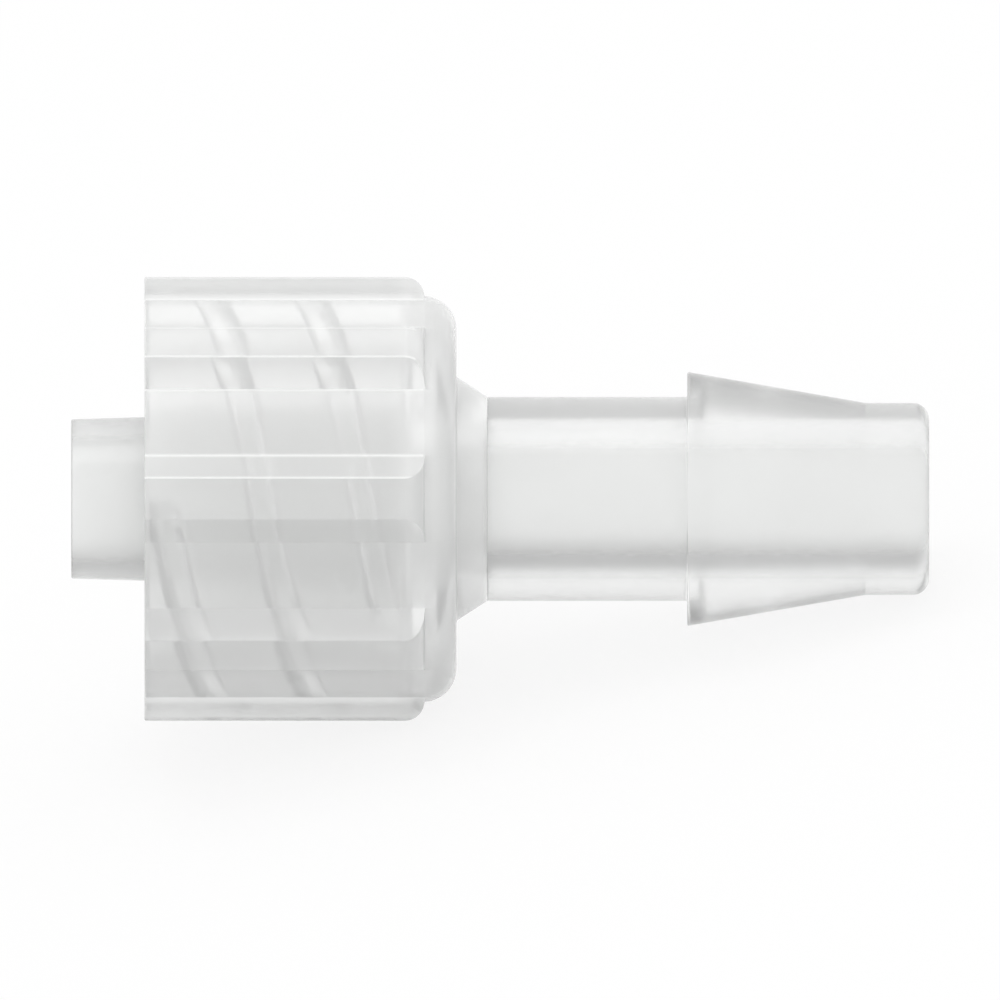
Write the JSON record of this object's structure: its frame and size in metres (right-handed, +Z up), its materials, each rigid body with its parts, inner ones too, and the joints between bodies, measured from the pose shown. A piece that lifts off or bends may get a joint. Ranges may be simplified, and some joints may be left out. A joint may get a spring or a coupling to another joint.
{
  "type": "male luer lock hose barb",
  "caption": "Moulded plastic tube fitting: a tapered luer nozzle inside a ribbed, internally threaded lock collar, with a hose barb behind it on the same flow axis.",
  "frame": {"origin": "centre of the luer nozzle's mouth, on the flow axis", "axes": "+Z up as the fitting lies on a flat surface. The flow axis is in the XZ plane: from the nozzle's mouth it runs towards +X and dips 13.00 degrees, because the fitting rests on the ends of two grip ribs and the tip of the barb."},
  "size_m": [0.0218, 0.0106, 0.0119],
  "materials": {
    "natural_polypropylene": "translucent natural polypropylene, smooth as moulded, semi-gloss"
  },
  "bodies": {
    "root": {"luer_barb_fitting": "natural_polypropylene"}
  },
  "joints": []
}
